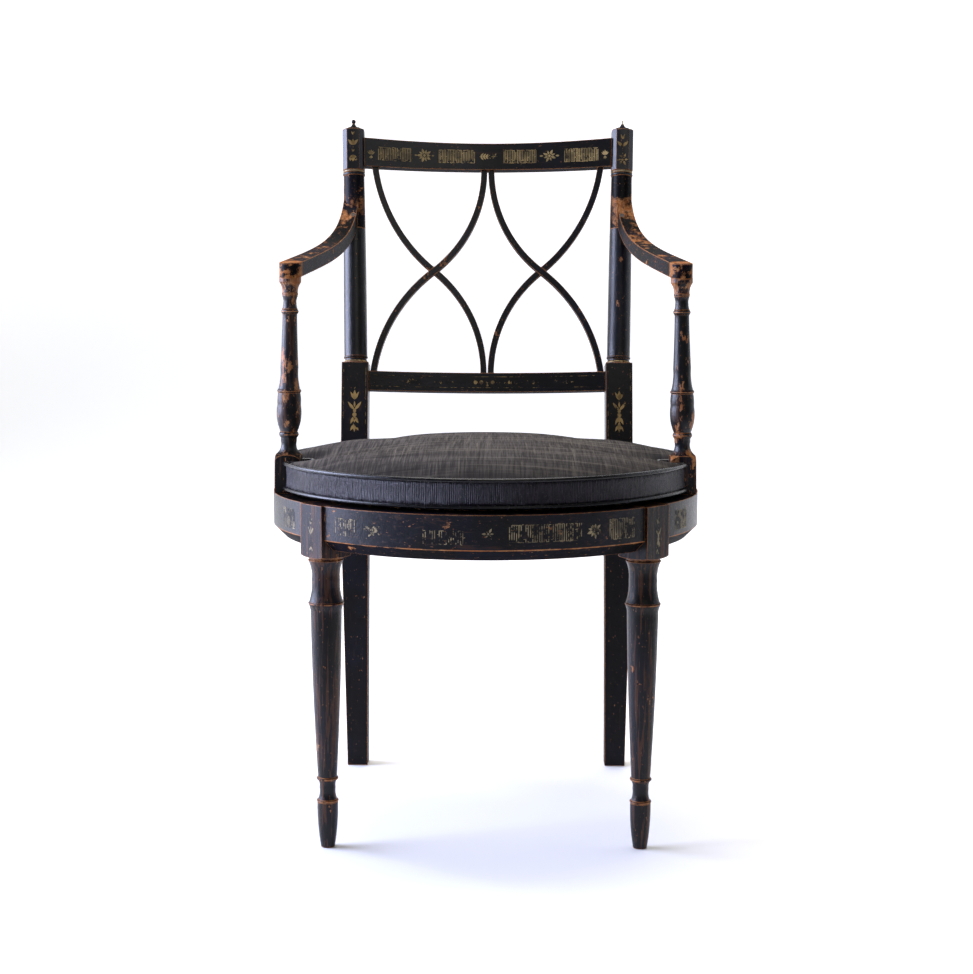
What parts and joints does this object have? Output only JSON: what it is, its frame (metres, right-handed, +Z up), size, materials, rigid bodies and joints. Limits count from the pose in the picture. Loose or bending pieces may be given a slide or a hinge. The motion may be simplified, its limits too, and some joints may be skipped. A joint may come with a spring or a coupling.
{
  "type": "regency armchair",
  "caption": "Open armchair with a round caned seat and loose crowned cushion, bowed lattice back, sweeping arms on turned supports and turned front legs.",
  "frame": {"origin": "on the floor, in the middle of the footprint of the whole chair", "axes": "+Z up, the front of the chair towards -Y, +X to the right of someone looking at the front"},
  "size_m": [0.515, 0.5486, 0.8661],
  "materials": {
    "lacquered_wood": "worn black lacquer over orange-brown wood, faded dull gold ornament",
    "peg_wood": "dark end grain plug",
    "pin_brass": "dull, tarnished",
    "cane": "aged tan cane, satin",
    "cushion_cloth": "grey-brown slubbed weave with dark glossy piping"
  },
  "bodies": {
    "chair": {"front_leg_left": "lacquered_wood", "front_leg_right": "lacquered_wood", "rear_post_left": "lacquered_wood", "rear_post_right": "lacquered_wood", "finial_pins": "pin_brass", "finial_bead": "lacquered_wood", "crest_rail": "lacquered_wood", "lower_back_rail": "lacquered_wood", "left_rib_rising_out": "lacquered_wood", "left_rib_rising_in": "lacquered_wood", "right_rib_rising_out": "lacquered_wood", "right_rib_rising_in": "lacquered_wood", "arm_left": "lacquered_wood", "arm_right": "lacquered_wood", "arm_support_left": "lacquered_wood", "arm_support_right": "lacquered_wood", "arm_pegs": "peg_wood", "front_seat_rail": "lacquered_wood", "left_seat_rail": "lacquered_wood", "right_seat_rail": "lacquered_wood", "back_seat_rail": "lacquered_wood", "cane_panel": "cane", "cane_binding": "cane"},
    "loose_cushion": {"cushion": "cushion_cloth"}
  },
  "joints": [
    {"name": "cushion_lift", "type": "slide", "parent": "chair", "child": "loose_cushion", "axis": [0, 0, 1], "range_m": [0, 0.03]}
  ]
}
